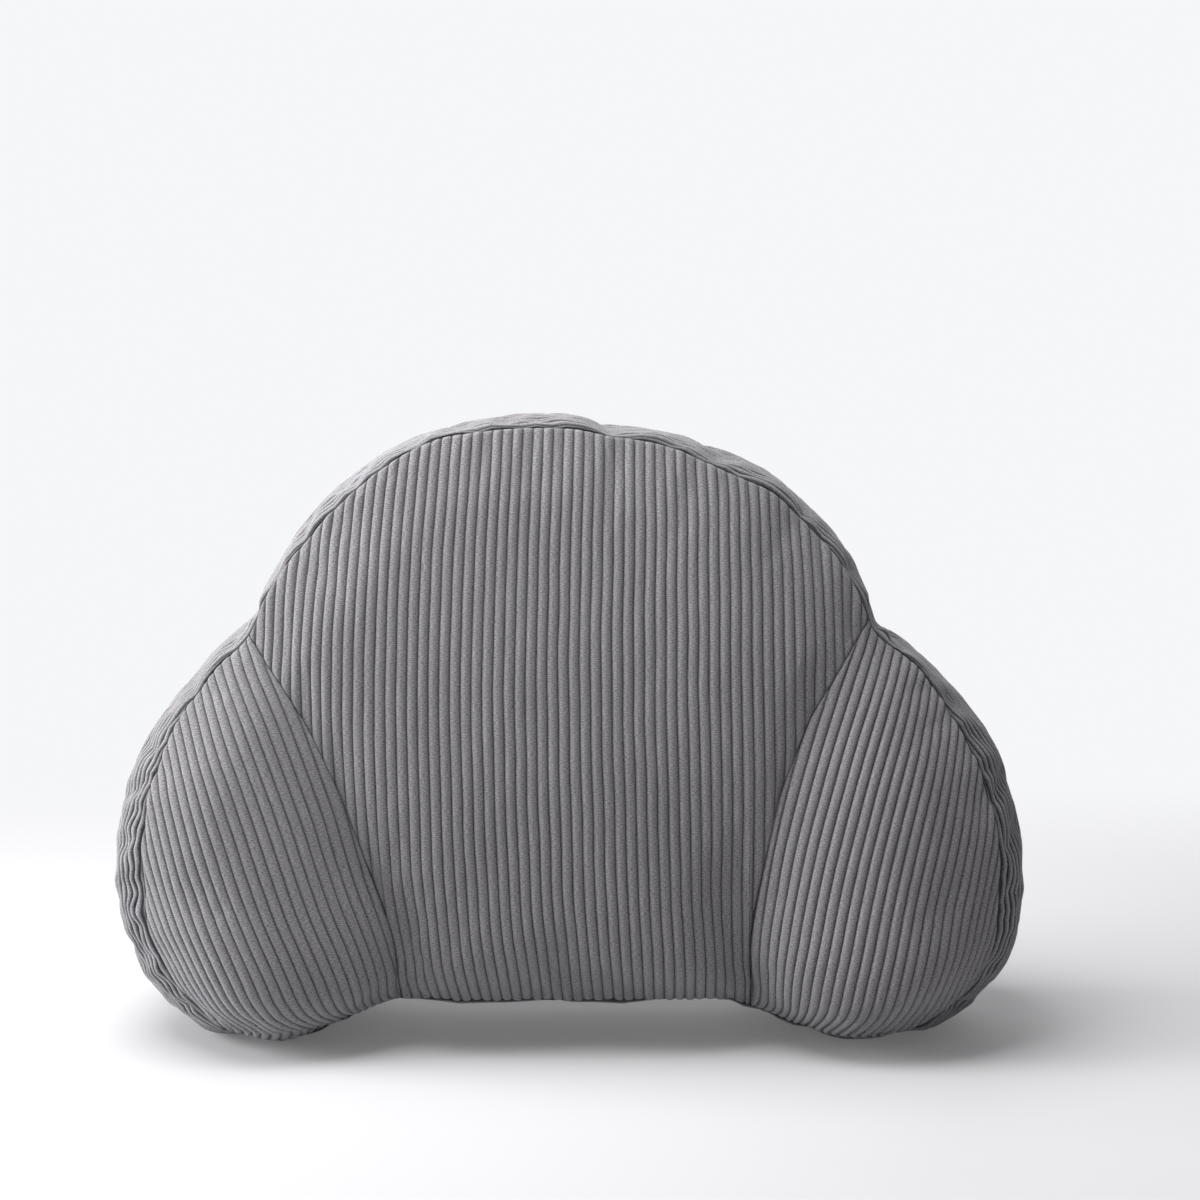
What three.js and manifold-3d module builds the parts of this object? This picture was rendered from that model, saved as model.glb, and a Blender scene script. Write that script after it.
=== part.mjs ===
// Lumbar pillow: a cloud-shaped box cushion in wide-wale corduroy. Its face is a centre panel between two
// wings that swell forward as arm bolsters, a boxing strip runs round its edge, and a plain panel closes its back.
// Millimetres, +Z up. The face looks along -Y, +X is at the right hand of someone who looks at the face, and the
// origin is on the ground under the middle of the pillow's box.
//
// The form is laid out in polar co-ordinates about a hub in the pillow's middle plane, from three surfaces:
//   the face  crowned in front of the hub, out to the front seam,
//   the band  from the front seam, out over a bulge, to the back seam,
//   the back  a shallow crown behind the hub, out to the back seam.
import * as THREE from 'three';
import { mergeVertices } from 'three/addons/utils/BufferGeometryUtils.js';
import Module from 'manifold-3d';

// Driving dimensions.
const WIDTH = 500; // over the wings
const HEIGHT = 340; // ground to crown
const HUB_HEIGHT = 150;
const CLOTH = 3; // corduroy with its pile, as it is sewn over the filling
const GAP = 0.3; // between neighbouring pieces

// Outline where the pillow is widest: a round head, two wings and a straight base. Each round shape is
// |x/halfWidth|^power + |z/halfHeight|^power = 1 about its own middle.
const HEAD = { x: 0, z: 213, halfWidth: 168, halfHeight: HEIGHT - 213, power: 2 };
const WING_LEVEL = 90; // height at which a wing is widest
const WING_ABOVE = { x: WIDTH / 2 - 148, z: WING_LEVEL, halfWidth: 148, halfHeight: 148, power: 2 };
const WING_BELOW = { x: WIDTH / 2 - 92, z: WING_LEVEL, halfWidth: 92, halfHeight: 94, power: 2.2 };
const BASE = { height: 22, halfWidth: 150 };
const NOTCH_BLEND = 12; // softness of the notch between head and wing
const BASE_BLEND = 5; // softness of the step between base and wing
const LEAN = -5; // how far the crown has slumped sideways

// Places round the edge, by their angle about the hub (0 is level with it, 90 is above it): how far the front seam
// lies in front of the middle plane and the back seam behind it, and how far the filling pulls each seam inside
// the widest outline.
const EDGE = [
  { place: 'base', angle: -90, front: 54, back: 64, insetLeft: 3, insetRight: 3, insetBack: 4 },
  { place: 'heel', angle: -62, front: 58, back: 66, insetLeft: 10, insetRight: 11, insetBack: 6 },
  { place: 'corner', angle: -40, front: 67, back: 72, insetLeft: 18, insetRight: 18, insetBack: 12 },
  { place: 'wing', angle: -12, front: 70, back: 70, insetLeft: 21, insetRight: 20, insetBack: 16 },
  { place: 'notch', angle: 25, front: 54, back: 52, insetLeft: 1, insetRight: 2, insetBack: 9 },
  { place: 'shoulder', angle: 50, front: 48, back: 46, insetLeft: 2, insetRight: 6, insetBack: 8 },
  { place: 'crown', angle: 90, front: 44, back: 44, insetLeft: 5, insetRight: 4, insetBack: 6 },
];
const BULGE_POWER = 2.2; // how flat the band is across its widest line

// Seam between the centre panel and each wing: its distance from the middle, by height.
const WING_SEAM = [
  { height: 0, left: 95, right: 108 },
  { height: 30, left: 93.5, right: 100.5 },
  { height: 65, left: 96, right: 97 },
  { height: 105, left: 108.5, right: 103 },
  { height: 145, left: 123.5, right: 112.5 },
  { height: 185, left: 143, right: 129 },
  { height: 225, left: 170, right: 154.5 },
];
const SEAM_EXIT = { height: 240, distance: 200 }; // where each seam surface has left through the notch

// Crown of the pillow, by height: the centre panel in front of the middle plane, what a wing stands in front of
// the centre panel, how deep the wing seams are drawn in, and the back panel behind the middle plane.
const CROWN = [
  { height: 0, centre: 62, wing: 27, drawnIn: 13, back: 70 },
  { height: 45, centre: 78, wing: 29, drawnIn: 9, back: 84 },
  { height: 90, centre: 83, wing: 22, drawnIn: 5, back: 91 },
  { height: 150, centre: 83, wing: 13, drawnIn: 3, back: 91 },
  { height: 200, centre: 77, wing: 5, drawnIn: 3, back: 84 },
  { height: 230, centre: 72, wing: 1, drawnIn: 3, back: 77 },
  { height: 285, centre: 60, wing: 0, drawnIn: 2, back: 65 },
  { height: HEIGHT, centre: 49, wing: 0, drawnIn: 0, back: 52 },
];
const CENTRE_FALL = { share: 0.1, halfWidth: 170 }; // share of its depth that the centre panel loses sideways
const WING_SWELL = { width: 80, power: 1.8, least: -1.5 }; // a wing's rise from its seam to its full depth
const SEAM_VALLEY = 18; // width over which the face is drawn in along a wing seam
const FACE_RIM = 42; // width over which the face falls to the front seam
const BACK_RIM = 72; // width over which the back falls to the back seam

// Facets.
const FACETS_ROUND = 88;
const FACE_RINGS = 12;
const FACE_CROWDING = 1.6; // draws the face's rings together towards the front seam
const BAND_ROWS = 6;
const BACK_RINGS = 5;
const SEAM_STEP = 15; // height between the points of a wing seam

const CORDUROY = { color: 0x76757a, roughness: 0.95, metalness: 0 };

const wasm = await Module();
wasm.setup();

const { clamp, degToRad, lerp, radToDeg } = THREE.MathUtils;
const FRONT = -1; // towards the face along Y
const BACK = 1;

// Two neighbouring rows of a table round a value of its key column, and the value's share of the way between them.
function rowsRound(table, key, value) {
  const above = table.findIndex((row) => row[key] >= value);
  const next = clamp(above < 0 ? table.length - 1 : above, 1, table.length - 1);
  const span = table[next][key] - table[next - 1][key];
  return { next, span, share: clamp((value - table[next - 1][key]) / span, 0, 1) };
}

// Blend of a column between the rows round a value, easing in and out of each row.
function eased(table, key, column, value) {
  const { next, share } = rowsRound(table, key, value);
  return lerp(table[next - 1][column], table[next][column], share * share * (3 - 2 * share));
}

function slopeAtRow(table, key, column, row) {
  const before = table[Math.max(row - 1, 0)];
  const after = table[Math.min(row + 1, table.length - 1)];
  return (after[column] - before[column]) / (after[key] - before[key]);
}

// Smooth curve of a column: a cubic between neighbouring rows, whose slope at each row comes from its neighbours.
function curved(table, key, column, value) {
  const { next, span, share } = rowsRound(table, key, value);
  const rest = 1 - share;
  const start = slopeAtRow(table, key, column, next - 1) * span;
  const end = slopeAtRow(table, key, column, next) * span;
  const between = lerp(table[next - 1][column], table[next][column], share * share * (3 - 2 * share));
  return between + start * share * rest * rest - end * share * share * rest;
}

// Larger of two lengths, with a rounded change from one to the other.
const softMax = (a, b, blend) => (a + b + Math.hypot(a - b, blend)) / 2;

// Distance from the hub, along a ray on the right half, to the far side of a round shape: halved between the
// ray's point nearest to the shape's middle and a point well outside. It is 0 where the ray misses.
function farSide(cosine, sine, shape) {
  const isInside = (reach) => {
    const x = Math.abs((reach * cosine - shape.x) / shape.halfWidth);
    const z = Math.abs((HUB_HEIGHT + reach * sine - shape.z) / shape.halfHeight);
    return x ** shape.power + z ** shape.power < 1;
  };
  let inner = shape.x * cosine + (shape.z - HUB_HEIGHT) * sine;
  if (!isInside(inner)) return 0;
  let outer = inner + WIDTH;
  for (let halving = 0; halving < 40; halving++) {
    const middle = (inner + outer) / 2;
    if (isInside(middle)) inner = middle;
    else outer = middle;
  }
  return Math.max(inner, 0);
}

// Radius of the widest outline about the hub.
function outline(angle) {
  const cosine = Math.abs(Math.cos(angle));
  const sine = Math.sin(angle);
  const isAboveWidest = sine * (WIDTH / 2) > (WING_LEVEL - HUB_HEIGHT) * cosine;
  const wing = farSide(cosine, sine, isAboveWidest ? WING_ABOVE : WING_BELOW);
  const upper = softMax(farSide(cosine, sine, HEAD), wing, NOTCH_BLEND);
  if (sine >= 0) return upper;
  const base = Math.min((HUB_HEIGHT - BASE.height) / -sine, BASE.halfWidth / Math.max(cosine, 1e-6));
  return softMax(upper, base, BASE_BLEND);
}

// Value of an EDGE column at an angle, the same on both halves.
function edge(angle, column) {
  const folded = Math.atan2(Math.sin(angle), Math.abs(Math.cos(angle)));
  return eased(EDGE, 'angle', column, radToDeg(folded));
}

const frontInset = (angle) => edge(angle, Math.cos(angle) < 0 ? 'insetLeft' : 'insetRight');
const frontRadius = (angle) => outline(angle) - frontInset(angle);
const backRadius = (angle) => outline(angle) - edge(angle, 'insetBack');

// Point of a curve about the hub, moved inwards square to the curve. It stays at least as high as it is moved, so
// the wings lie flat on the ground and the layers over the ground keep their thickness.
function inPlan(radiusAt, angle, inwards = 0) {
  const step = degToRad(0.5);
  const at = (a) => new THREE.Vector2(Math.cos(a), Math.sin(a)).multiplyScalar(radiusAt(a));
  const along = at(angle + step).sub(at(angle - step)).normalize();
  const point = at(angle).add(new THREE.Vector2(-along.y, along.x).multiplyScalar(inwards));
  return { x: point.x, z: Math.max(HUB_HEIGHT + point.y, inwards) };
}

// How far a point of the face lies outside the wing seam of its own half.
function beyondSeam(x, z) {
  return Math.abs(x) - curved(WING_SEAM, 'height', x < 0 ? 'left' : 'right', z);
}

// Depth of the centre panel before it rounds over: the crown, falling sideways, drawn in along the wing seams.
function centreDepth(x, z) {
  const fall = CENTRE_FALL.share * (x / CENTRE_FALL.halfWidth) ** 2;
  const valley = curved(CROWN, 'height', 'drawnIn', z) * Math.exp(-((beyondSeam(x, z) / SEAM_VALLEY) ** 2));
  return curved(CROWN, 'height', 'centre', z) * (1 - fall) - valley;
}

// Depth of a wing before it rounds over: the centre panel's, and a swell that rises from the seam and levels out.
function wingDepth(x, z) {
  const share = beyondSeam(x, z) / WING_SWELL.width;
  const rise = share > 0 ? 1 - (1 - Math.min(share, 1)) ** WING_SWELL.power : WING_SWELL.power * share;
  return centreDepth(x, z) + curved(CROWN, 'height', 'wing', z) * Math.max(rise, WING_SWELL.least);
}

// Point of the face at a share of the way from the hub to the front seam. Near the seam the depth falls to the
// seam's own along a parabola.
function facePoint(angle, share, depthAt) {
  const { x, z } = inPlan((a) => frontRadius(a) * share, angle);
  const toSeam = clamp((frontRadius(angle) * (1 - share)) / FACE_RIM, 0, 1);
  const seam = edge(angle, 'front');
  const depth = lerp(seam, depthAt(x, z), 1 - (1 - toSeam) ** 2);
  return new THREE.Vector3(x, FRONT * depth, z);
}

// Point of the back at a share of the way from the hub to the back seam, moved in by the thickness over it. Near
// the seam the depth falls to the seam's own along a parabola.
function backPoint(angle, share, over, inwards = 0) {
  const { x, z } = inPlan((a) => backRadius(a) * share, angle, inwards);
  const toSeam = clamp((backRadius(angle) - Math.hypot(x, z - HUB_HEIGHT)) / BACK_RIM, 0, 1);
  const seam = edge(angle, 'back');
  const depth = lerp(seam, curved(CROWN, 'height', 'back', z), 1 - (1 - toSeam) ** 2);
  return new THREE.Vector3(x, BACK * (depth - over), z);
}

// Point of the band at a share of the way from the front seam to the back seam, moved in by the cloth over it.
function bandPoint(angle, share, inwards) {
  const insetAt = share < 0.5 ? frontInset : (a) => edge(a, 'insetBack');
  const fullness = Math.abs(2 * share - 1) ** BULGE_POWER;
  const { x, z } = inPlan((a) => outline(a) - insetAt(a) * fullness, angle, inwards);
  const front = FRONT * (edge(angle, 'front') - GAP);
  const back = BACK * (edge(angle, 'back') - CLOTH - GAP);
  return new THREE.Vector3(x, lerp(front, back, share), z);
}

// Angles about the hub that divide the outline into equal lengths.
function evenAngles(count) {
  const steps = 1440;
  const angleAt = (i) => (i / steps) * 2 * Math.PI - Math.PI / 2;
  const place = (a) => new THREE.Vector2(Math.cos(a), Math.sin(a)).multiplyScalar(outline(a));
  const lengths = [0];
  for (let i = 1; i <= steps; i++) {
    lengths.push(lengths[i - 1] + place(angleAt(i)).distanceTo(place(angleAt(i - 1))));
  }
  const angles = [];
  for (let i = 0, k = 0; k < count; i++) {
    const wanted = (lengths[steps] * k) / count;
    if (lengths[i + 1] > wanted) {
      angles.push(angleAt(i + (wanted - lengths[i]) / (lengths[i + 1] - lengths[i])));
      k += 1;
      i -= 1;
    }
  }
  return angles;
}

const ANGLES = evenAngles(FACETS_ROUND);
const ring = (pointAt) => ANGLES.map(pointAt);
const shares = (count) => Array.from({ length: count + 1 }, (_, i) => i / count);

// Closed surface through rings of as many points each. It ends in a point at each pole, or without poles its last
// ring joins its first. The faces are turned so that it holds a positive volume.
function closedSurface(rings, poles = []) {
  const points = [...rings.flat(), ...poles];
  const count = rings[0].length;
  const triangles = [];
  const pairs = poles.length ? rings.length - 1 : rings.length;
  for (let row = 0; row < pairs; row++) {
    for (let i = 0; i < count; i++) {
      const next = (i + 1) % count;
      const [a, b] = [row * count + i, row * count + next];
      const below = ((row + 1) % rings.length) * count;
      triangles.push([a, b, below + next], [a, below + next, below + i]);
    }
  }
  if (poles.length) {
    const first = rings.length * count;
    const last = (rings.length - 1) * count;
    for (let i = 0; i < count; i++) {
      const next = (i + 1) % count;
      triangles.push([first, next, i], [first + 1, last + i, last + next]);
    }
  }
  const volume = triangles.reduce((sum, [a, b, c]) => {
    return sum + points[a].dot(points[b].clone().cross(points[c]));
  }, 0);
  const outward = volume > 0 ? triangles : triangles.map(([a, b, c]) => [a, c, b]);
  const geometry = new THREE.BufferGeometry().setFromPoints(points);
  geometry.setIndex(outward.flat());
  return geometry;
}

// Conversions to and from a solid that can be cut.
function toSolid(geometry) {
  const bare = geometry.clone();
  bare.deleteAttribute('normal');
  bare.deleteAttribute('uv');
  const merged = mergeVertices(bare);
  const vertProperties = Float32Array.from(merged.attributes.position.array);
  const triVerts = Uint32Array.from(merged.index.array);
  return new wasm.Manifold(new wasm.Mesh({ numProp: 3, vertProperties, triVerts }));
}

function toGeometry(solid) {
  const { vertProperties, triVerts } = solid.getMesh();
  const geometry = new THREE.BufferGeometry();
  geometry.setAttribute('position', new THREE.BufferAttribute(vertProperties, 3));
  geometry.setIndex(new THREE.BufferAttribute(triVerts, 1));
  return geometry;
}

// The whole filled form under one face: the face, a ledge over the boxing strip's edge, and the filling's side
// and back, which keep clear of the strip and the back panel.
function filledForm(depthAt) {
  const clear = CLOTH + GAP;
  const face = shares(FACE_RINGS).slice(1).map((share) => {
    const reach = 1 - (1 - share) ** FACE_CROWDING;
    return ring((angle) => facePoint(angle, reach, depthAt));
  });
  const side = shares(BAND_ROWS).map((share) => ring((angle) => bandPoint(angle, share, clear)));
  const ledge = ring((angle, i) => side[0][i].clone().setY(FRONT * edge(angle, 'front')));
  const back = shares(BACK_RINGS).slice(1, -1).reverse();
  const backRings = back.map((share) => ring((angle) => backPoint(angle, share, clear)));
  const poles = [facePoint(0, 0, depthAt), backPoint(0, 0, clear)];
  return closedSurface([...face, ledge, ...side, ...backRings], poles);
}

// The strip of cloth round the edge, inner and outer side. The inner side's rings run as the filling's do, so that
// their facets are split alike and stay parallel.
function boxingStrip() {
  const inner = shares(BAND_ROWS).map((share) => ring((angle) => bandPoint(angle, share, CLOTH)));
  const outer = shares(BAND_ROWS).map((share) => ring((angle) => bandPoint(angle, share, 0)));
  return closedSurface([...inner, ...outer.reverse()]);
}

// The panel of cloth over the back, outer and inner side.
function backPanel() {
  const reaches = shares(BACK_RINGS).slice(1);
  const outer = reaches.map((share) => ring((angle) => backPoint(angle, share, 0)));
  const inner = reaches.map((share) => ring((angle) => backPoint(angle, share, CLOTH)));
  return closedSurface([...outer, ...inner.reverse()], [backPoint(0, 0, 0), backPoint(0, 0, CLOTH)]);
}

// Points of one wing seam from below the ground to where it leaves through the notch.
function seamLine(side) {
  const column = side < 0 ? 'left' : 'right';
  const top = WING_SEAM.at(-1).height;
  const points = [];
  for (let height = -SEAM_STEP; height <= top; height += SEAM_STEP) {
    points.push(new THREE.Vector2(side * curved(WING_SEAM, 'height', column, height), height));
  }
  points.push(new THREE.Vector2(side * SEAM_EXIT.distance, SEAM_EXIT.height));
  return points;
}

// A block through the pillow from front to back, with an outline in the plane of the face.
function blockThrough(points) {
  const block = new THREE.ExtrudeGeometry(new THREE.Shape(points), { depth: WIDTH, bevelEnabled: false });
  block.rotateX(Math.PI / 2);
  block.translate(0, WIDTH / 2, 0);
  return block;
}

// The two wing blocks lie a gap outside and below the seams, and the centre block fills all between them.
function wingBlock(side) {
  const seam = seamLine(side).map((point) => point.add(new THREE.Vector2(side * GAP, -GAP)));
  const corners = [new THREE.Vector2(side * WIDTH, seam.at(-1).y), new THREE.Vector2(side * WIDTH, seam[0].y)];
  return blockThrough([...seam, ...corners]);
}

function centreBlock() {
  const top = HEIGHT * 2;
  const over = [-1, 1].flatMap((side) => {
    const heights = side < 0 ? [SEAM_EXIT.height, top] : [top, SEAM_EXIT.height];
    return heights.map((height) => new THREE.Vector2(side * WIDTH, height));
  });
  return blockThrough([...seamLine(-1), ...over, ...seamLine(1).reverse()]);
}

const cut = (form, block) => toGeometry(toSolid(form).intersect(toSolid(block)));

const pieces = {
  front_centre: cut(filledForm(centreDepth), centreBlock()),
  wing_left: cut(filledForm(wingDepth), wingBlock(-1)),
  wing_right: cut(filledForm(wingDepth), wingBlock(1)),
  boxing_strip: boxingStrip(),
  back_panel: backPanel(),
};

// The slump of the crown: sideways by the square of the height.
function slump(geometry) {
  const place = geometry.attributes.position;
  for (let i = 0; i < place.count; i++) {
    place.setX(i, place.getX(i) + LEAN * (place.getZ(i) / HEIGHT) ** 2);
  }
}

const pillow = new THREE.Group();
for (const [name, geometry] of Object.entries(pieces)) {
  slump(geometry);
  const mesh = new THREE.Mesh(geometry, new THREE.MeshStandardMaterial(CORDUROY));
  mesh.name = name;
  pillow.add(mesh);
}

// The origin goes under the middle of the pillow's box.
const middle = new THREE.Box3().setFromObject(pillow).getCenter(new THREE.Vector3());
for (const mesh of pillow.children) mesh.geometry.translate(-middle.x, -middle.y, 0);

export default pillow;
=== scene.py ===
"""A lumbar pillow in wide-wale corduroy: a centre panel between two wing panels, a boxing strip round them and a
back panel. Lengths in the tables are millimetres in the pillow's layout: +Z up, the face towards -Y, the middle plane
at Y 0 and the hub of the outline at X 0, HUB_HEIGHT up. Angles are about the hub, 0 to the right and 90 up. Meshes
are in metres in the frame's own place."""
import math

import bpy
import numpy as np
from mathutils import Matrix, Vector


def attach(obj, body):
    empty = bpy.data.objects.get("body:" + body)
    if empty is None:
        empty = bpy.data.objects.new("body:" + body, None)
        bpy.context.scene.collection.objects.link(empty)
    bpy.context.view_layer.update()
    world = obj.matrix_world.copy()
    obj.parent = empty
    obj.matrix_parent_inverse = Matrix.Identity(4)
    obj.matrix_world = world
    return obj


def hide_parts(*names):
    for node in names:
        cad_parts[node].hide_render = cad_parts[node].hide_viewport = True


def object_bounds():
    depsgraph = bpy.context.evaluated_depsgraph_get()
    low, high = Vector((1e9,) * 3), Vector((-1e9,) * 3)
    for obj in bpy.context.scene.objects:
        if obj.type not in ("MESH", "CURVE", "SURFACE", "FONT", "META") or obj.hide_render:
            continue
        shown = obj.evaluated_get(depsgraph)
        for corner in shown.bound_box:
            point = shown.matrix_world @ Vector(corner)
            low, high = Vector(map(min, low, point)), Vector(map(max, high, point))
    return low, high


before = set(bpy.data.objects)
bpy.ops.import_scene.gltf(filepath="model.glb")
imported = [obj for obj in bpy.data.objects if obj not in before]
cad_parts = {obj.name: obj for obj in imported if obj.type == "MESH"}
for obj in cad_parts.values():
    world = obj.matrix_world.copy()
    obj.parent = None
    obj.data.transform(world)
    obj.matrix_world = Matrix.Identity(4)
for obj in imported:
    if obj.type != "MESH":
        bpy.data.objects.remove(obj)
cad_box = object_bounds()

# --- Layout of the cover, close to its solids --------------------------------
WIDTH, HEIGHT, HUB_HEIGHT = 500.0, 340.0, 150.0
WING_LEVEL, BASE_HEIGHT, BASE_HALF_WIDTH = 90.0, 25.5, 150.0  # widest level of the wings, and the arch under the base
NOTCH_BLEND, BASE_BLEND = 12.0, 5.0  # how softly head, wings and base run into each other
LEAN = -5.0  # how far the crown has slumped sideways
BACK_BULGE = 2.4  # how quickly the strip swells out from the back seam
BACK_RIM = 72.0  # width of the back's eased rim
SEAM_VALLEY = 18.0  # half the width of the valley along a wing seam
SWELL_WIDTH, SWELL_POWER, SWELL_LEAST = 80.0, 1.8, -1.5  # how a wing swells forward from its seam
CENTRE_FALL, CENTRE_HALF_WIDTH = 0.1, 170.0  # share of its depth that the centre panel loses that far from the middle
SEAM_GAP = 0.1  # from each seam line to the cloth on either side of it
NOTCH_RUN = 0.68  # how far sideways a wing seam runs for each unit of height, on through the notch


def table(columns, *rows):
    """Columns by name, from rows of numbers."""
    return dict(zip(columns.split(), np.array(rows, float).T))


ROUNDS = table(
    "x z half_width half_height power",
    (0, 213, 168, HEIGHT - 213, 2),  # head
    (WIDTH / 2 - 148, WING_LEVEL, 148, 148, 2),  # wing above its widest level
    (WIDTH / 2 - 92, WING_LEVEL, 92, 94, 2.2),  # wing below it
)
# A wing's inner underside: a point on its slope on either side, its height and its steepness.
FOOT_X_LEFT, FOOT_X_RIGHT, FOOT_Z, FOOT_SLOPE, FOOT_BLEND = 117.5, 109.0, 14.8, 0.45, 8.0
# How much the outline is pulled in, round the hub: the cover isn't cut and filled quite alike on both sides.
PULLED_IN = table(
    "angle cut",
    (-90, 0), (-48, 0), (-36, 0.3), (-24, 1.2), (-15, 4.8), (-3, 5), (3, 1.3), (12, 2.5),
    (19, 0.8), (30, 3), (39, 1), (48, 2), (55, 0.8), (68, 2.6), (81, 4.2), (90, 0.5),
    (104, -0.4), (117, -2.0), (132, 0), (144, 2.2), (151, 0), (160, -3), (168, 1.6), (180, 0.7),
    (186, 2.5), (201, 2.4), (208, -0.4), (216, -2.2), (224, -1.5), (236, 0), (270, 0),
)
# The strip, by the angle about the hub: depth of its front and back seams off the middle plane, width of the face's
# eased rim, inset of the back seam, and how the strip swells from the front seam.
EDGE = table(
    "angle front back rim inset_back start swell",
    (-90, 52, 64, 36, 4, 2, 2),
    (-56, 50, 66, 28, 6, 2, 2),
    (-52, 47, 68, 24, 8, 2, 2),
    (-49, 46, 69, 22, 9, 2, 2),
    (-45, 46, 70, 22, 10, 2, 2),
    (-41, 50, 71, 26, 11, 1.6, 2),
    (-35, 63, 72, 36, 13, 1.2, 3.5),
    (-12, 70, 70, 42, 16, 1, 4.5),
    (25, 54, 52, 42, 9, 1, 4.5),
    (50, 48, 46, 42, 8, 1, 4.5),
    (90, 44, 44, 42, 6, 1, 4.5),
)
# How far the front seam lies inside the widest outline, on either half.
FRONT_INSET = table(
    "angle left right",
    (-90, 0, 0), (-56, 0, 0), (-52, 2, 2), (-49, 4.8, 4.5), (-45, 8, 9),
    (-41, 11.5, 12), (-38, 15.5, 15), (-35, 18, 17.5), (-30, 20.3, 18.3), (-25, 21.5, 18),
    (-20, 19.2, 17.5), (-14, 19.8, 17.2), (-8, 16.3, 15), (-3, 14.3, 13), (2, 12.5, 13.6),
    (9, 6.6, 8.9), (13, 4.2, 4.6), (20, 3.6, 0.8), (26, 1.3, 3), (31, 1, 2.6),
    (37, 1.6, 4.6), (43, 4.1, 4.8), (53, 3.8, 3.6), (60, 2.4, 5.2), (66, 0.4, 4.2),
    (71, -0.9, 2.5), (77, 0.7, 1.4), (90, 2.4, 2.4),
)
# How far the wing seams lie from the hub's upright.
WING_SEAM = table(
    "height left right",
    (0, 93, 100),
    (30, 93.5, 97),
    (65, 96, 96),
    (105, 108.5, 103),
    (145, 123.5, 112.5),
    (185, 143, 129),
    (225, 170, 154.5),
)
# Depth of the face up its middle, how much more a wing has, how deep the wing seams are, and depth of the back.
CROWN = table(
    "height centre wing drawn_in back",
    (0, 62, 27, 13, 70),
    (45, 78, 29, 9, 84),
    (90, 83, 22, 5, 91),
    (150, 83, 13, 3, 91),
    (200, 77, 5, 3, 84),
    (230, 72, 1, 3, 77),
    (285, 60, 0, 2, 65),
    (HEIGHT, 49, 0, 0, 52),
)

# --- Cloth -------------------------------------------------------------------
# One rib runs down each panel as its guide, by height: the guide's place across, and the width of a rib as it is
# stretched there.
RIBS = table(
    "height centre centre_rib left left_rib right right_rib back back_rib",
    (0, 7.5, 5.50, -117, 5.60, 122.5, 5.30, 0, 5.60),
    (28, 6.0, 5.53, -125, 6.05, 125.5, 5.60, 0, 5.64),
    (50, 4.2, 5.61, -131.5, 6.2, 127.8, 5.75, 0, 5.68),
    (90, 1.3, 5.67, -147.3, 6.25, 135.2, 5.80, 0, 5.72),
    (145, 0.1, 5.70, -165.6, 6.25, 148.6, 5.80, 0, 5.74),
    (205, -0.1, 5.68, -189.2, 6.2, 169.3, 5.78, 0, 5.70),
    (270, 2.2, 5.61, -218, 6.1, 196, 5.75, 0, 5.64),
    (300, 3.9, 5.54, -231, 6.1, 208, 5.75, 0, 5.60),
    (HEIGHT, 6.0, 5.38, -249, 6.1, 224, 5.75, 0, 5.50),
)
RIB_STEPS = np.array([0, 0.075, 0.19, 0.34, 0.5, 0.66, 0.81, 0.925])  # where a rib is sampled across
END_ROWS = np.array([0, 0.3, 0.65, 1.1, 1.7, 2.6, 4, 6])  # how far from its ends a rib is sampled most closely
SHORT_COLUMN = 40.0  # length under which a column's end rows move closer together
RIB_HEIGHT = 1.9
FACE_PILE = (2.4, 0.62)  # how flat a rib of the panels is on top, and how full
STRIP_STEPS = np.array([0, 0.12, 0.3, 0.5, 0.7, 0.88])
STRIP_RIB, STRIP_RELIEF, STRIP_PILE = 5.2, 2.1, (2.0, 0.85)
SPARE = 0.5  # width beside each seam that takes the strip's spare ribs
CALM_BACK = 0.7  # how much less the strip's ribs wander towards the back seam
SINK = 0.55  # share of the ribs' height that lies below the surface
CRUSH_WIDTH, CRUSH, PAINTED_SEAM_SHADE = 0.9, 0.8, 0.45  # how the nap is flattened at the seams in height, and how much darker the painted shade is there
UNEVEN_PILE, UNEVEN_LENGTH = 0.1, 30.0  # how uneven the ribs are, and over what length
TUCK_DEPTH, TUCK_WIDTH, TUCK_POWER = 1.0, 0.6, 1.4  # how the cloth dives into a seam
TURN_IN, TURN_BACK = 0.75, 0.66  # which way it dives: so much towards the hub, and so much off the surface
LUMP_HEIGHT, LUMP_LENGTH, LUMP_EDGE = 1.0, 150.0, 25.0  # how lumpy the filling is, and where that dies out
SWAY, SWAY_LENGTH, SWAY_EDGE = 0.28, 55.0, 6.0  # how the panels' ribs wander sideways
WANDER_LENGTH, WANDER_WIDTH, WANDER_EDGE = 17.0, 60.0, 9.0  # the same on the strip
PUCKER_LENGTH, PUCKER_WIDTH, PUCKER_EDGE, FLOOR_EDGE = 22.0, 45.0, 7.0, 12.0  # how it puckers, and where it lies flat
CREASE = table("height depth", (0, 1.4), (40, 1.2), (80, 0.5), (HEIGHT, 0.4))  # how deep a wing seam is, in tucks
SHELL = 3.0  # thickness of cloth and pile
SLOPE_STEP, WIDTH_STEP, EDGE_STEP = 0.3, 0.4, 0.2  # how far either side of a place values are read for a slope
TURN_STEP, ACROSS_STEP = 0.002, 0.004  # the same on the strip: an angle, and a share of its width
EVEN_ROWS = 0.6  # how evenly rows are spaced between a column's ends
SWAY_RIB, UNEVEN_RIB = 0.11, 0.37  # how unlike its neighbour each rib is
LINING_EDGE, LINING_TURN = 9.0, 1.2  # how the lining comes up to the outer side at the seams
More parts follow.
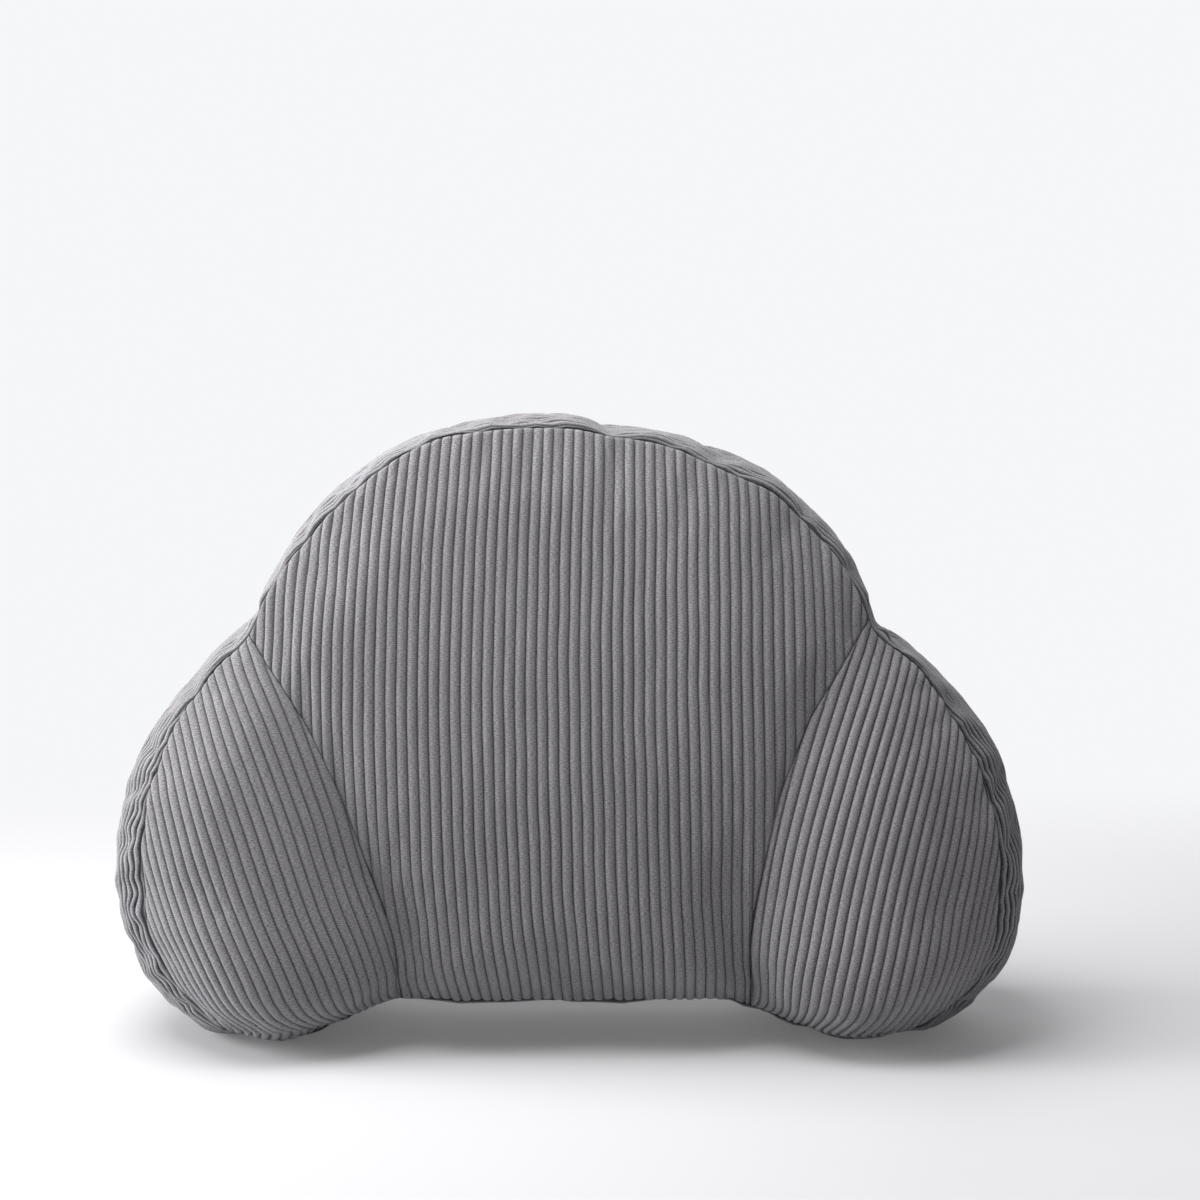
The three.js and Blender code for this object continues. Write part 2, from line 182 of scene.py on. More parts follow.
# How far the strip's ribs wander sideways, how high it puckers and how close its grid is, by the angle about the
# hub.
WAVES = table(
    "angle sway_left sway_right pucker_left pucker_right closeness",
    (-90, 0.2, 0.2, 0.3, 0.3, 0.35),
    (-60, 0.8, 0.8, 0.8, 0.8, 0.4),
    (-42, 2.0, 2.0, 1.0, 1.2, 1.3),
    (-20, 2.8, 1.8, 0.9, 0.8, 1.8),
    (-5, 2.6, 0.9, 0.8, 0.6, 1.8),
    (8, 0.6, 0.7, 0.5, 0.6, 1.2),
    (24, 0.4, 1.0, 0.3, 0.9, 1.2),
    (60, 0.6, 1.1, 0.5, 0.7, 1.2),
    (90, 1.2, 1.2, 0.8, 0.8, 1.2),
)
# Places where the strip is gathered as it was sewn: the angle about the hub, how far from the front seam, how high
# or deep, how far it spreads along the strip and across it.
GATHERS = table(
    "angle from_front height along across",
    (21.2, 7, -2.4, 3, 12), (24.0, 8, 3.4, 4, 14), (26.6, 7, -2.2, 2.5, 12),
    (31, 8, 1.0, 6, 12), (36.5, 8, -1.2, 2.5, 12), (47.7, 8, -2.2, 3, 12),
    (53, 7, 1.0, 10, 10), (83, 6, -1.6, 7, 14), (74, 8, 1.2, 9, 12),
    (93, 8, 1.0, 14, 12), (117, 6, -1.6, 8, 12), (104, 8, 1.0, 10, 12),
    (151.5, 7, -2.0, 3, 12), (154, 8, 1.4, 4, 12), (-31, 9, -2.6, 4, 12),
    (-36, 8, 2.0, 5, 10), (-40, 7, -2.4, 4, 10), (-149, 8, -2.2, 4, 8),
    (-155, 8, 1.4, 5, 8), (-161, 8, -1.8, 4, 8), (-141, 7, -2.0, 4, 8),
)


def rows_round(rows, value):
    """A table's first column, the upper row of the pair round each value, and the value's share of the way between
    the pair."""
    keys = next(iter(rows.values()))
    upper = np.clip(np.searchsorted(keys, value), 1, len(keys) - 1)
    return keys, upper, np.clip((value - keys[upper - 1]) / (keys[upper] - keys[upper - 1]), 0, 1)


def eased(rows, column, value):
    """Blend of a column between neighbouring rows by 3 s^2 - 2 s^3 of the share s."""
    _, upper, s = rows_round(rows, value)
    low, high = rows[column][upper - 1], rows[column][upper]
    return low + (high - low) * s * s * (3 - 2 * s)


def curved(rows, column, value):
    """Cubic through a column, whose slope at each row is that between the rows on either side of it."""
    keys, upper, s = rows_round(rows, value)
    values = rows[column]
    before, after = np.arange(len(keys)) - 1, np.arange(len(keys)) + 1
    before[0], after[-1] = 0, len(keys) - 1
    slopes = (values[after] - values[before]) / (keys[after] - keys[before])
    low, high = values[upper - 1], values[upper]
    ease = low + (high - low) * s * s * (3 - 2 * s)
    span = keys[upper] - keys[upper - 1]
    return ease + span * s * (1 - s) * (slopes[upper - 1] * (1 - s) - slopes[upper] * s)


def on_side(read, rows, value, across, kind=""):
    """A table read in its left column of a kind where across is negative, and in its right one elsewhere."""
    left, right = (read(rows, kind + side, value) for side in ("left", "right"))
    return np.where(across < 0, left, right)


def soft_max(a, b, blend):
    """Larger of a and b, rounded where they cross: (a + b + sqrt((a - b)^2 + blend^2)) / 2."""
    return (a + b + np.hypot(a - b, blend)) / 2


HALVINGS = 40


def far_side(cosine, sine, row):
    """Distance from the hub to the far side of |x/w|^p + |z/h|^p = 1, found by HALVINGS along every ray at once."""
    x0, z0, w, h, p = (ROUNDS[name][row] for name in ("x", "z", "half_width", "half_height", "power"))

    def inside(reach):
        return np.abs((reach * cosine - x0) / w) ** p + np.abs((HUB_HEIGHT + reach * sine - z0) / h) ** p < 1

    inner = x0 * cosine + (z0 - HUB_HEIGHT) * sine
    hit, outer = inside(inner), inner + WIDTH
    for _ in range(HALVINGS):
        middle = (inner + outer) / 2
        within = inside(middle)
        inner, outer = np.where(within, middle, inner), np.where(within, outer, middle)
    return np.where(hit, np.maximum(inner, 0), 0)


def widest(angle):
    """Radius of the widest outline: the largest of head, wing and base along each ray, with rounded changes. A
    wing's inner underside is a straight slope up from its foot, which cuts its round."""
    cosine, sine = np.abs(np.cos(angle)), np.sin(angle)
    foot = np.where(np.cos(angle) < 0, FOOT_X_LEFT, FOOT_X_RIGHT)
    slope = (HUB_HEIGHT - FOOT_Z - FOOT_SLOPE * foot) / np.maximum(-sine - FOOT_SLOPE * cosine, 1e-3)
    above = sine * (WIDTH / 2) > (WING_LEVEL - HUB_HEIGHT) * cosine
    below = -soft_max(-far_side(cosine, sine, 2), -slope, FOOT_BLEND)
    wing = np.where(above, far_side(cosine, sine, 1), below)
    upper = soft_max(far_side(cosine, sine, 0), wing, NOTCH_BLEND)
    drop = (HUB_HEIGHT - BASE_HEIGHT) / np.maximum(-sine, 1e-6)
    base = np.minimum(drop, BASE_HALF_WIDTH / np.maximum(cosine, 1e-6))
    pulled_in = eased(PULLED_IN, "cut", (np.degrees(angle) + 90) % 360 - 90)
    return np.where(sine >= 0, upper, soft_max(upper, base, BASE_BLEND)) - pulled_in


def tilted(angle):
    """An angle about the hub in degrees, from -90 below it to 90 above it, the same on both halves."""
    return np.degrees(np.arctan2(np.sin(angle), np.abs(np.cos(angle))))


RAYS = np.linspace(-math.pi, math.pi, 2881)
REACHES = widest(RAYS)


def outline(angle):
    """Radius of the widest outline, read between closely spaced rays."""
    return np.interp((angle + math.pi) % (2 * math.pi) - math.pi, RAYS, REACHES)


def edge(angle, column):
    """A column of EDGE at an angle about the hub."""
    return eased(EDGE, column, tilted(angle))


def front_inset(angle):
    """How far the front seam lies inside the widest outline."""
    return on_side(curved, FRONT_INSET, tilted(angle), np.cos(angle))


def back_inset(angle):
    """How far the back seam lies inside the widest outline."""
    return edge(angle, "inset_back")


def polar(x, z):
    """Angle and radius about the hub."""
    return np.arctan2(z - HUB_HEIGHT, x), np.hypot(x, z - HUB_HEIGHT)


def even_lengths(closeness=None):
    """Shares of the outline's length, and the angles about the hub where they fall, from straight down round to
    straight down again. Where a table of closeness is given, lengths count that much more."""
    angles = np.linspace(-math.pi / 2, 1.5 * math.pi, 5761)
    radius = outline(angles)
    steps = np.hypot(np.diff(radius * np.cos(angles)), np.diff(radius * np.sin(angles)))
    if closeness is not None:
        steps = steps * eased(closeness, "closeness", tilted(angles))[1:]
    lengths = np.concatenate([[0], steps.cumsum()])
    return lengths / lengths[-1], angles


def seam_map(inset):
    """Distance inside a seam all over the pillow's plane, on a square grid: that to the nearest of many short
    straight pieces of the seam, and negative outside it."""
    angle = np.interp(np.linspace(0, 1, SEAM_PIECES + 1), *even_lengths())
    radius = outline(angle) - inset(angle)
    seam = np.stack([radius * np.cos(angle), HUB_HEIGHT + radius * np.sin(angle)])
    place = np.stack(np.meshgrid(MAP_X, MAP_Z))[..., None]
    nearest = np.full(place.shape[1:3], np.inf)
    for run in np.array_split(np.arange(SEAM_PIECES), 20):
        start, along = seam[:, None, None, run], (seam[:, run + 1] - seam[:, run])[:, None, None]
        share = np.clip(((place - start) * along).sum(0) / (along**2).sum(0), 0, 1)
        nearest = np.minimum(nearest, np.linalg.norm(place - start - share * along, axis=0).min(-1))
    angle, radius = polar(place[0, ..., 0], place[1, ..., 0])
    return nearest * np.sign(outline(angle) - inset(angle) - radius)


def read_map(distances, x, z):
    """A map's distance at any place, by straight lines between the four points of its grid round that place."""
    column = np.clip((x - MAP_X[0]) / MAP_STEP, 0, len(MAP_X) - 1.001)
    row = np.clip((z - MAP_Z[0]) / MAP_STEP, 0, len(MAP_Z) - 1.001)
    c, r = column.astype(int), row.astype(int)
    low = distances[r, c] + (distances[r, c + 1] - distances[r, c]) * (column - c)
    high = distances[r + 1, c] + (distances[r + 1, c + 1] - distances[r + 1, c]) * (column - c)
    return low + (high - low) * (row - r)


MAP_STEP, MAP_MARGIN, SEAM_PIECES = 2.5, 15.0, 800
MAP_X = np.arange(-WIDTH / 2 - MAP_MARGIN, WIDTH / 2 + MAP_MARGIN + 1, MAP_STEP)
MAP_Z = np.arange(-MAP_MARGIN, HEIGHT + MAP_MARGIN + 1, MAP_STEP)
INSIDE_FRONT, INSIDE_BACK = seam_map(front_inset), seam_map(back_inset)


def seam_distance(x, z, out_at_top=0.0):
    """How far a point lies outside the wing seam of its own half. Above its last row the seam may run out through
    the notch, so much sideways for each unit of height."""
    return np.abs(x) - on_side(curved, WING_SEAM, z, x) - out_at_top * np.maximum(z - WING_SEAM["height"][-1], 0)


def crowned(x, z):
    """Depth of the face off the middle plane, away from its rim: the crown, less its fall sideways with x^2 and a
    valley exp(-(q/w)^2) along the wing seams."""
    depth = curved(CROWN, "centre", z) * (1 - CENTRE_FALL * (x / CENTRE_HALF_WIDTH) ** 2)
    return depth - curved(CROWN, "drawn_in", z) * np.exp(-((seam_distance(x, z) / SEAM_VALLEY) ** 2))


def centre_depth(x, z):
    """Depth of the centre panel in front of the middle plane."""
    return rimmed(x, z, crowned(x, z))


def wing_depth(x, z):
    """Depth of a wing: the face's own and a swell 1 - (1 - q/w)^p, which goes straight on across its seam."""
    share = seam_distance(x, z) / SWELL_WIDTH
    rise = 1 - (1 - np.clip(share, 0, 1)) ** SWELL_POWER
    rise = np.where(share > 0, rise, np.maximum(SWELL_POWER * share, SWELL_LEAST))
    return rimmed(x, z, crowned(x, z) + curved(CROWN, "wing", z) * rise)


def rimmed(x, z, depth):
    """A depth of the face, eased to the front seam's depth by 1 - (1 - t)^2 over the rim."""
    angle, _ = polar(x, z)
    t = np.clip(read_map(INSIDE_FRONT, x, z) / edge(angle, "rim"), 0, 1)
    seam = edge(angle, "front")
    return seam + (depth - seam) * (1 - (1 - t) ** 2)


def back_depth(x, z):
    """Depth of the back behind the middle plane: its crown, eased to the back seam's depth by 1 - (1 - t)^2."""
    t = np.clip(read_map(INSIDE_BACK, x, z) / BACK_RIM, 0, 1)
    seam = edge(polar(x, z)[0], "back")
    return seam + (curved(CROWN, "back", z) - seam) * (1 - (1 - t) ** 2)


def smooth_noise(seed, u, v, octaves):
    """Even, repeatable unevenness about 1 high: sine waves of seeded directions and phases, each octave twice as
    fine and half as high."""
    rng = np.random.default_rng(seed)
    total = 0.0
    for octave in range(octaves):
        for _ in range(4):
            along, across, phase = rng.uniform(-1, 1), rng.uniform(-1, 1), rng.uniform(0, 2 * math.pi)
            total = total + np.sin(2**octave * (along * u + across * v) * 2 * math.pi + phase) / 2**octave
    return total / 4


def rib_profile(share, flat, full):
    """Height of a rib across its width, 0 in the valleys and 1 on the crest: (1 - |2s - 1|^flat)^full."""
    return (1 - np.abs(2 * share - 1) ** flat) ** full


# The frame puts the origin under the middle of the pillow's box.
Y_SHIFT = cad_box[1][1] * 1000 - curved(CROWN, "back", np.linspace(0, HEIGHT, 2000)).max()
X_SHIFT = -LEAN * (WING_LEVEL / HEIGHT) ** 2
GROUND, GROUND_BLEND = 0.05, 0.3


def to_frame(points):
    """Layout millimetres to metres in the frame: the slump moves X by the square of the height, then the origin's
    shift. Nothing goes under the ground: heights are eased to stay just above it."""
    x, y, z = np.moveaxis(points, -1, 0)
    x = x + LEAN * (z / HEIGHT) ** 2 + X_SHIFT
    z = soft_max(z, GROUND, GROUND_BLEND)
    return np.stack([x, y + Y_SHIFT, z], -1) / 1000


def unit(vectors):
    """Vectors scaled to length 1."""
    return vectors / np.maximum(np.linalg.norm(vectors, axis=-1, keepdims=True), 1e-9)


# --- Grids of cloth ----------------------------------------------------------
LEVELS = np.linspace(0.5, HEIGHT - 0.5, 240)
END_STEP, MOST_ADDED = 5.0, 7  # how far apart the ends of neighbouring columns may lie, and what is added between
SHORTEST = 4.0  # the shortest column that is kept
FAR_OUT = 50.0  # distance given to places on the other half


def marched_columns(depth, guide, side_reach):
    """Columns that run along the ribs, at every level: from the guide rib each next column lies a share of a rib's
    width further over the surface, dx = width ds / sqrt(1 + slope^2), stepped by the midpoint rule. A column is
    named by its ribs from the guide, s."""
    start = curved(RIBS, guide, LEVELS)
    width = curved(RIBS, f"{guide}_rib", LEVELS)

    def rate(x):
        slope = (depth(x + WIDTH_STEP, LEVELS) - depth(x - WIDTH_STEP, LEVELS)) / (2 * WIDTH_STEP)
        return width / np.sqrt(1 + slope**2)

    def walk(direction):
        numbers = np.arange(side_reach)[:, None]
        if direction > 0:
            stops = (RIB_STEPS + numbers).ravel()
        else:
            stops = np.append(0.0, ((1 - RIB_STEPS[::-1]) + numbers).ravel())
        x, columns = start, [start]
        for step in np.diff(stops):
            half = x + direction * step / 2 * rate(x)
            x = x + direction * step * rate(half)
            columns.append(x)
        return stops, np.array(columns)

    up, right = walk(1)
    down, left = walk(-1)
    s = np.concatenate([-down[:0:-1], up])
    return s, np.concatenate([left[:0:-1], right]).T


def ends(x_at, inside):
    """Where each column first and last lies inside the panel: the heights where the distance to the panel's edge
    crosses 0, by a straight line between two of LEVELS. Columns shorter than SHORTEST count as outside."""
    room = inside(x_at, LEVELS[:, None] * np.ones_like(x_at))
    first, last = (room > 0).argmax(0), len(LEVELS) - 1 - (room[::-1] > 0).argmax(0)
    columns = np.arange(x_at.shape[1])

    def crossing(outer, inner):
        a, b = room[outer, columns], room[inner, columns]
        share = np.clip(a / np.where(np.abs(a - b) < 1e-9, 1, a - b), 0, 1)
        return LEVELS[outer] + (LEVELS[inner] - LEVELS[outer]) * np.where(a < 0, share, 0)

    low = crossing(np.maximum(first - 1, 0), first)
    high = crossing(np.minimum(last + 1, len(LEVELS) - 1), last)
    return low, high, (room.max(0) > 0) & (high - low > SHORTEST)


def closer(s, x_at, inside):
    """Columns added between neighbours that end more than END_STEP apart, evenly between the two."""
    low, high, kept = ends(x_at, inside)
    low, high = np.where(kept, low, (low + high) / 2), np.where(kept, high, (low + high) / 2)
    apart = np.maximum(np.abs(np.diff(low)), np.abs(np.diff(high))) * (kept[1:] | kept[:-1])
    extra = np.minimum(apart / END_STEP, MOST_ADDED).astype(int)
    before = np.repeat(np.arange(len(extra)), extra)
    share = (np.arange(extra.sum()) - np.repeat(extra.cumsum() - extra, extra) + 1) / (extra[before] + 1)
    wide = np.concatenate([s, s[before] + (s[before + 1] - s[before]) * share])
    added = x_at[:, before] + (x_at[:, before + 1] - x_at[:, before]) * share
    order = np.argsort(wide)
    return wide[order], np.concatenate([x_at, added], 1)[:, order]


def trimmed(x_at, inside, rows):
    """The columns cut to where they lie inside the panel, each with as many rows: END_ROWS at its ends, shorter on
    short columns, and between them e t + (1 - e) (1 - cos(pi t)) / 2. A stretch that leaves the panel and comes back
    is moved onto the panel's edge, against the slope of the distance to it."""
    low, high, kept = ends(x_at, inside)
    low, length = low[kept], (high - low)[kept]
    near = END_ROWS[:, None] * np.minimum(1, length / SHORT_COLUMN)
    t = np.linspace(0, 1, rows - 2 * len(END_ROWS) + 2)[1:-1, None]
    t = EVEN_ROWS * t + (1 - EVEN_ROWS) * (1 - np.cos(math.pi * t)) / 2
    middle = near[-1] + (length - 2 * near[-1]) * t
    z = low + np.concatenate([near, middle, length - near[::-1]])
    place = (z - LEVELS[0]) / (LEVELS[1] - LEVELS[0])
    cell = np.clip(place.astype(int), 0, len(LEVELS) - 2)
    x_kept = x_at[:, kept]
    first, second = np.take_along_axis(x_kept, cell, 0), np.take_along_axis(x_kept, cell + 1, 0)
    x = first + (second - first) * (place - cell)
    for _ in range(3):
        out = np.minimum(inside(x, z), 0)
        slope_x = inside(x + EDGE_STEP, z) - inside(x - EDGE_STEP, z)
        slope_z = inside(x, z + EDGE_STEP) - inside(x, z - EDGE_STEP)
        push = 2 * EDGE_STEP * out / np.maximum(slope_x**2 + slope_z**2, 0.01)
        x, z = x - push * slope_x, z - push * slope_z
    return x, z, kept


def wing_side(side):
    """Which side of the seams a panel lies on: the distance to its edge, positive inside."""
    def inside(x, z):
        to_front = read_map(INSIDE_FRONT, x, z)
        beyond = seam_distance(x, z, NOTCH_RUN)
        if side == 0:
            return np.minimum(to_front, -beyond) - SEAM_GAP
        return np.where(x * side > 0, np.minimum(to_front, beyond), -FAR_OUT) - SEAM_GAP
    return inside


def back_inside(x, z):
    """Distance to the edge of the back panel, positive inside."""
    return read_map(INSIDE_BACK, x, z) - SEAM_GAP


def tuck_share(distance):
    """How far the cloth has dived at a distance from its seam: exp(-(d/w)^p)."""
    return np.exp(-((distance / TUCK_WIDTH) ** TUCK_POWER))


def inwards_at(x, z, forwards):
    """The way a seam allowance turns in at the front or back seam: towards the hub and away from the surface."""
    angle, _ = polar(x, z)
    turn = [-TURN_IN * np.cos(angle), np.full_like(x, -forwards * TURN_BACK), -TURN_IN * np.sin(angle)]
    return unit(np.stack(turn, -1))


def dive(first, first_share, second, second_share):
    """How far the cloth dives into two seams and which way it turns there, from each one's way and share."""
    both = first * first_share[..., None] + second * second_share[..., None]
    return {"tuck": TUCK_DEPTH * both, "turn": unit(both + 1e-6 * second)}


def panel(depth, forwards, side, guide, reach, rows, seed):
    """A flat-cut panel over the filling: the left wing (side -1), the centre (0) or the right wing (1), which look
    towards -Y (forwards -1), or the back (None), which looks towards +Y. Its grid follows the ribs, which sway a
    little. Points lie on the depth function, made lumpy by smooth noise, and dive into the seams by exp(-(d/w)^p)
    of the distance d to each."""
    inside = back_inside if side is None else wing_side(side)
    s, x_at = closer(*marched_columns(depth, guide, reach), inside)
    x, z, kept = trimmed(x_at, inside, rows)
    s = s[kept]
    sway = SWAY * smooth_noise(seed + 1, np.round(s + 0.5)[None, :] * SWAY_RIB, z / SWAY_LENGTH, 2)
    x = x + sway * np.clip(inside(x, z) / SWAY_EDGE, 0, 1)
    slope_x = (depth(x + SLOPE_STEP, z) - depth(x - SLOPE_STEP, z)) / (2 * SLOPE_STEP)
    slope_z = (depth(x, z + SLOPE_STEP) - depth(x, z - SLOPE_STEP)) / (2 * SLOPE_STEP)
    points = np.stack([x, forwards * depth(x, z), z], -1)
    normal = unit(np.stack([-slope_x, np.full_like(x, forwards), -slope_z], -1))
    if side is None:
        to_rim, to_wing = back_inside(x, z), np.full_like(x, np.inf)
    else:
        to_rim = read_map(INSIDE_FRONT, x, z) - SEAM_GAP
        to_wing = np.maximum(np.abs(seam_distance(x, z, NOTCH_RUN)) - SEAM_GAP, 0)
    to_rim = np.maximum(to_rim, 0)
    rim_share = tuck_share(to_rim)
    wing_share = tuck_share(to_wing) * (1 - rim_share) * eased(CREASE, "depth", z)
    tuck_wing = np.stack([np.zeros_like(x), np.full_like(x, -forwards), np.zeros_like(x)], -1)
    near = np.minimum(to_rim, to_wing)
    lumps = smooth_noise(seed, x / LUMP_LENGTH, z / LUMP_LENGTH, 2) * np.clip(near / LUMP_EDGE, 0, 1)
    lumps = LUMP_HEIGHT * lumps
    return {
        "points": points + normal * lumps[..., None],
        "normal": normal,
        **dive(inwards_at(x, z, forwards), rim_share, tuck_wing, wing_share),
        "near": near,
        "rib": np.broadcast_to(s, x.shape),
        "along": z,
        "closed": False,
        "profile": FACE_PILE,
        "seed": seed,
    }


def strip(rows, half_ribs, seed):
    """The boxing strip, a ring of rows round the outline. Across it, from the front seam at s 0 to the back seam at
    s 1, it bulges out to the widest outline: the front seam's inset times (1 - (1 - |2s - 1|)^a)^b on the front half,
    and the back seam's times |2s - 1|^c on the back half. Its ribs are counted over the surface from its middle line
    and wander a little sideways. Past a seam the spare ones are gathered into the last SPARE before it. It puckers
    by smooth noise, and by a rounded bump or dip exp(-(u/a)^2 - (v/c)^2) at each place where it is gathered."""
    angle = np.interp(np.arange(rows) / rows, *even_lengths(WAVES))[:, None]

    def surface(a, s):
        front_fullness = (1 - (1 - np.abs(2 * s - 1)) ** edge(a, "start")) ** edge(a, "swell")
        fullness = np.where(s < 0.5, front_fullness, np.abs(2 * s - 1) ** BACK_BULGE)
        radius = outline(a) - np.where(s < 0.5, front_inset(a), back_inset(a)) * fullness
        front, back = -(edge(a, "front") - 0.5), edge(a, "back") - 0.5
        z = np.maximum(HUB_HEIGHT + radius * np.sin(a), 0.0)
        return np.stack([radius * np.cos(a), front + (back - front) * s, z], -1)

    def waves(kind):
        return on_side(eased, WAVES, tilt, np.cos(angle), kind)

    tilt, half = tilted(angle), 150  # the strip is measured in so many steps either side of its middle
    dense = np.linspace(0, 1, 2 * half + 1)
    widths = np.linalg.norm(np.diff(surface(angle, dense[None, :]), axis=1), axis=-1)
    reach = np.concatenate([np.zeros((rows, 1)), widths.cumsum(1)], 1) - widths[:, :half].sum(1, keepdims=True)
    steps = (np.arange(half_ribs)[:, None] + STRIP_STEPS).ravel()
    steps = np.append(steps, half_ribs)
    numbers = np.concatenate([-steps[:0:-1], steps])
    middle_line = surface(angle, np.full_like(angle, 0.5))[:, 0]
    lengths = np.linalg.norm(np.roll(middle_line, -1, 0) - middle_line, axis=-1)
    along_length = np.concatenate([[0], lengths.cumsum()[:-1]])[:, None]
    calmer = 1 - CALM_BACK * np.clip(0.5 + numbers / half_ribs, 0, 1)
    noise = smooth_noise(seed + 1, along_length / WANDER_LENGTH, numbers * STRIP_RIB / WANDER_WIDTH, 2)
    wander = calmer * waves("sway_") * noise
    wanted = STRIP_RIB * numbers
    limit = np.where(wanted < 0, -reach[:, :1], reach[:, -1:])
    room = np.clip((limit - np.abs(wanted)) / WANDER_EDGE, 0, 1)
    wanted = wanted + wander * room
    most = STRIP_RIB * half_ribs
    spare = limit - SPARE * (most - np.abs(wanted)) / (most - limit + SPARE)
    across = np.sign(wanted) * np.where(np.abs(wanted) > limit - SPARE, spare, np.abs(wanted))
    share = np.array([np.interp(row, own, dense) for row, own in zip(across, reach)])
    angle, along_length = angle + 0.0 * share, along_length + 0.0 * share
    points = surface(angle, share)
    along = surface(angle + TURN_STEP, share) - surface(angle - TURN_STEP, share)
    next_share, last_share = np.minimum(share + ACROSS_STEP, 1), np.maximum(share - ACROSS_STEP, 0)
    sideways = surface(angle, next_share) - surface(angle, last_share)
    normal = unit(np.cross(along, sideways))
    outwards = np.sign((normal * np.stack([np.cos(angle), 0 * angle, np.sin(angle)], -1)).sum(-1, keepdims=True))
    normal = normal * np.where(outwards == 0, 1, outwards)
    to_front, to_back = across - reach[:, :1], reach[:, -1:] - across
    near = np.minimum(to_front, to_back)
    pucker = waves("pucker_") * smooth_noise(seed + 2, along_length / PUCKER_LENGTH, across / PUCKER_WIDTH, 2)
    for row in range(len(GATHERS["angle"])):
        place, from_front, height, along_width, across_width = (GATHERS[name][row] for name in GATHERS)
        turn = (np.degrees(angle) - place + 180) % 360 - 180
        u = np.radians(turn) * outline(angle) / along_width
        pucker = pucker + height * np.exp(-(u**2) - ((to_front - from_front) / across_width) ** 2)
    clear_of_floor = np.clip(points[..., 2] / FLOOR_EDGE, 0, 1)
    points = points + normal * (pucker * np.clip(near / PUCKER_EDGE, 0, 1) * clear_of_floor)[..., None]
    x, z = points[..., 0], points[..., 2]
    return {
        "points": points,
        "normal": normal,
        **dive(inwards_at(x, z, -1), tuck_share(to_front), inwards_at(x, z, 1), tuck_share(to_back)),
        "near": near,
        "rib": np.broadcast_to(numbers, share.shape),
        "along": along_length,
        "closed": True,
        "profile": STRIP_PILE,
        "seed": seed,
    }


# --- Filling pushes the cloth out --------------------------------------------
def placed(name, data):
    """A new object of some data, in the scene."""
    made = bpy.data.objects.new(name, data)
    bpy.context.scene.collection.objects.link(made)
    return made


CLOTH_FRAMES = 20
CLOTH_SETTINGS = {"quality": 6, "mass": 0.25, "air_damping": 3}
STIFFNESS = {"tension": 18, "compression": 18, "shear": 8, "bending": 0.35}


def spread(places, count):
    """Matrix that reads values kept at some places of a line at every place of it, linearly between them."""
    every = np.arange(count)
    cell = np.clip(np.searchsorted(places, every, side="right") - 1, 0, len(places) - 2)
    share = (every - places[cell]) / (places[cell + 1] - places[cell])
    weights = np.zeros((count, len(places)))
    weights[every, cell] = 1 - share
    weights[every, cell + 1] += share
    return weights


def coarse(count, step):
    """Every step-th place of a line, with its last."""
    return np.unique(np.append(np.arange(0, count, step), count - 1))


def stuffed(cloth, row_step, column_step, pressure, growth, cap):
    """Displacement that Blender's Cloth gives the panel: every few rows and columns of its grid as one sheet of
    cloth, held along its seams, cut a little too large and blown up from inside. Moves are capped by
    cap tanh(length / cap), then spread over the whole grid. A closed strip is simulated as a ring."""
    shape = cloth["points"].shape[:2]
    rows = np.arange(0, shape[0], row_step) if cloth["closed"] else coarse(shape[0], row_step)
    columns = coarse(shape[1], column_step)
    start = cloth["points"][np.ix_(rows, columns)]
    count_r, count_c = start.shape[:2]
    faces = quads(count_r, count_c, cloth["closed"])
    mesh = bpy.data.meshes.new("stuffing")
    mesh.from_pydata((start.reshape(-1, 3) / 1000).tolist(), [], faces.tolist())
    body = placed("stuffing", mesh)
    held = np.zeros((count_r, count_c), bool)
    held[:, [0, -1]] = True
    if not cloth["closed"]:
        held[[0, -1], :] = True
    group = body.vertex_groups.new(name="seams")
    group.add(np.flatnonzero(held.ravel()).tolist(), 1.0, "REPLACE")
    modifier = body.modifiers.new("cloth", "CLOTH")
    settings = modifier.settings
    settings.vertex_group_mass = "seams"
    for key, value in CLOTH_SETTINGS.items():
        setattr(settings, key, value)
    for way, value in STIFFNESS.items():
        setattr(settings, f"{way}_stiffness", value)
    settings.shrink_min = -growth
    settings.use_pressure = True
    settings.uniform_pressure_force = pressure * outward_sign(cloth)
    settings.effector_weights.gravity = 0
    modifier.collision_settings.use_collision = False
    scene = bpy.context.scene
    for number in range(1, CLOTH_FRAMES + 1):
        scene.frame_set(number)
    settled = body.evaluated_get(bpy.context.evaluated_depsgraph_get()).to_mesh()
    found = np.empty(count_r * count_c * 3)
    settled.vertices.foreach_get("co", found)
    scene.frame_set(1)
    bpy.data.objects.remove(body)
    bpy.data.meshes.remove(mesh)
    moved = np.nan_to_num(found.reshape(count_r, count_c, 3) * 1000 - start)
    length = np.linalg.norm(moved, axis=-1, keepdims=True)
    moved = moved * cap * np.tanh(length / cap) / np.maximum(length, 1e-6)
    if cloth["closed"]:
        moved, rows = np.concatenate([moved, moved[:1]]), np.append(rows, shape[0])
    over_rows = spread(rows, shape[0] + (1 if cloth["closed"] else 0))[: shape[0]]
    return np.einsum("ai,ijk,bj->abk", over_rows, moved, spread(columns, shape[1]))


def outward_sign(cloth):
    """1 where the grid's own faces look outwards, -1 where they look inwards."""
    points = cloth["points"]
    face = np.cross(points[1:, :-1] - points[:-1, :-1], points[:-1, 1:] - points[:-1, :-1])
    return 1.0 if (face * cloth["normal"][:-1, :-1]).sum() > 0 else -1.0


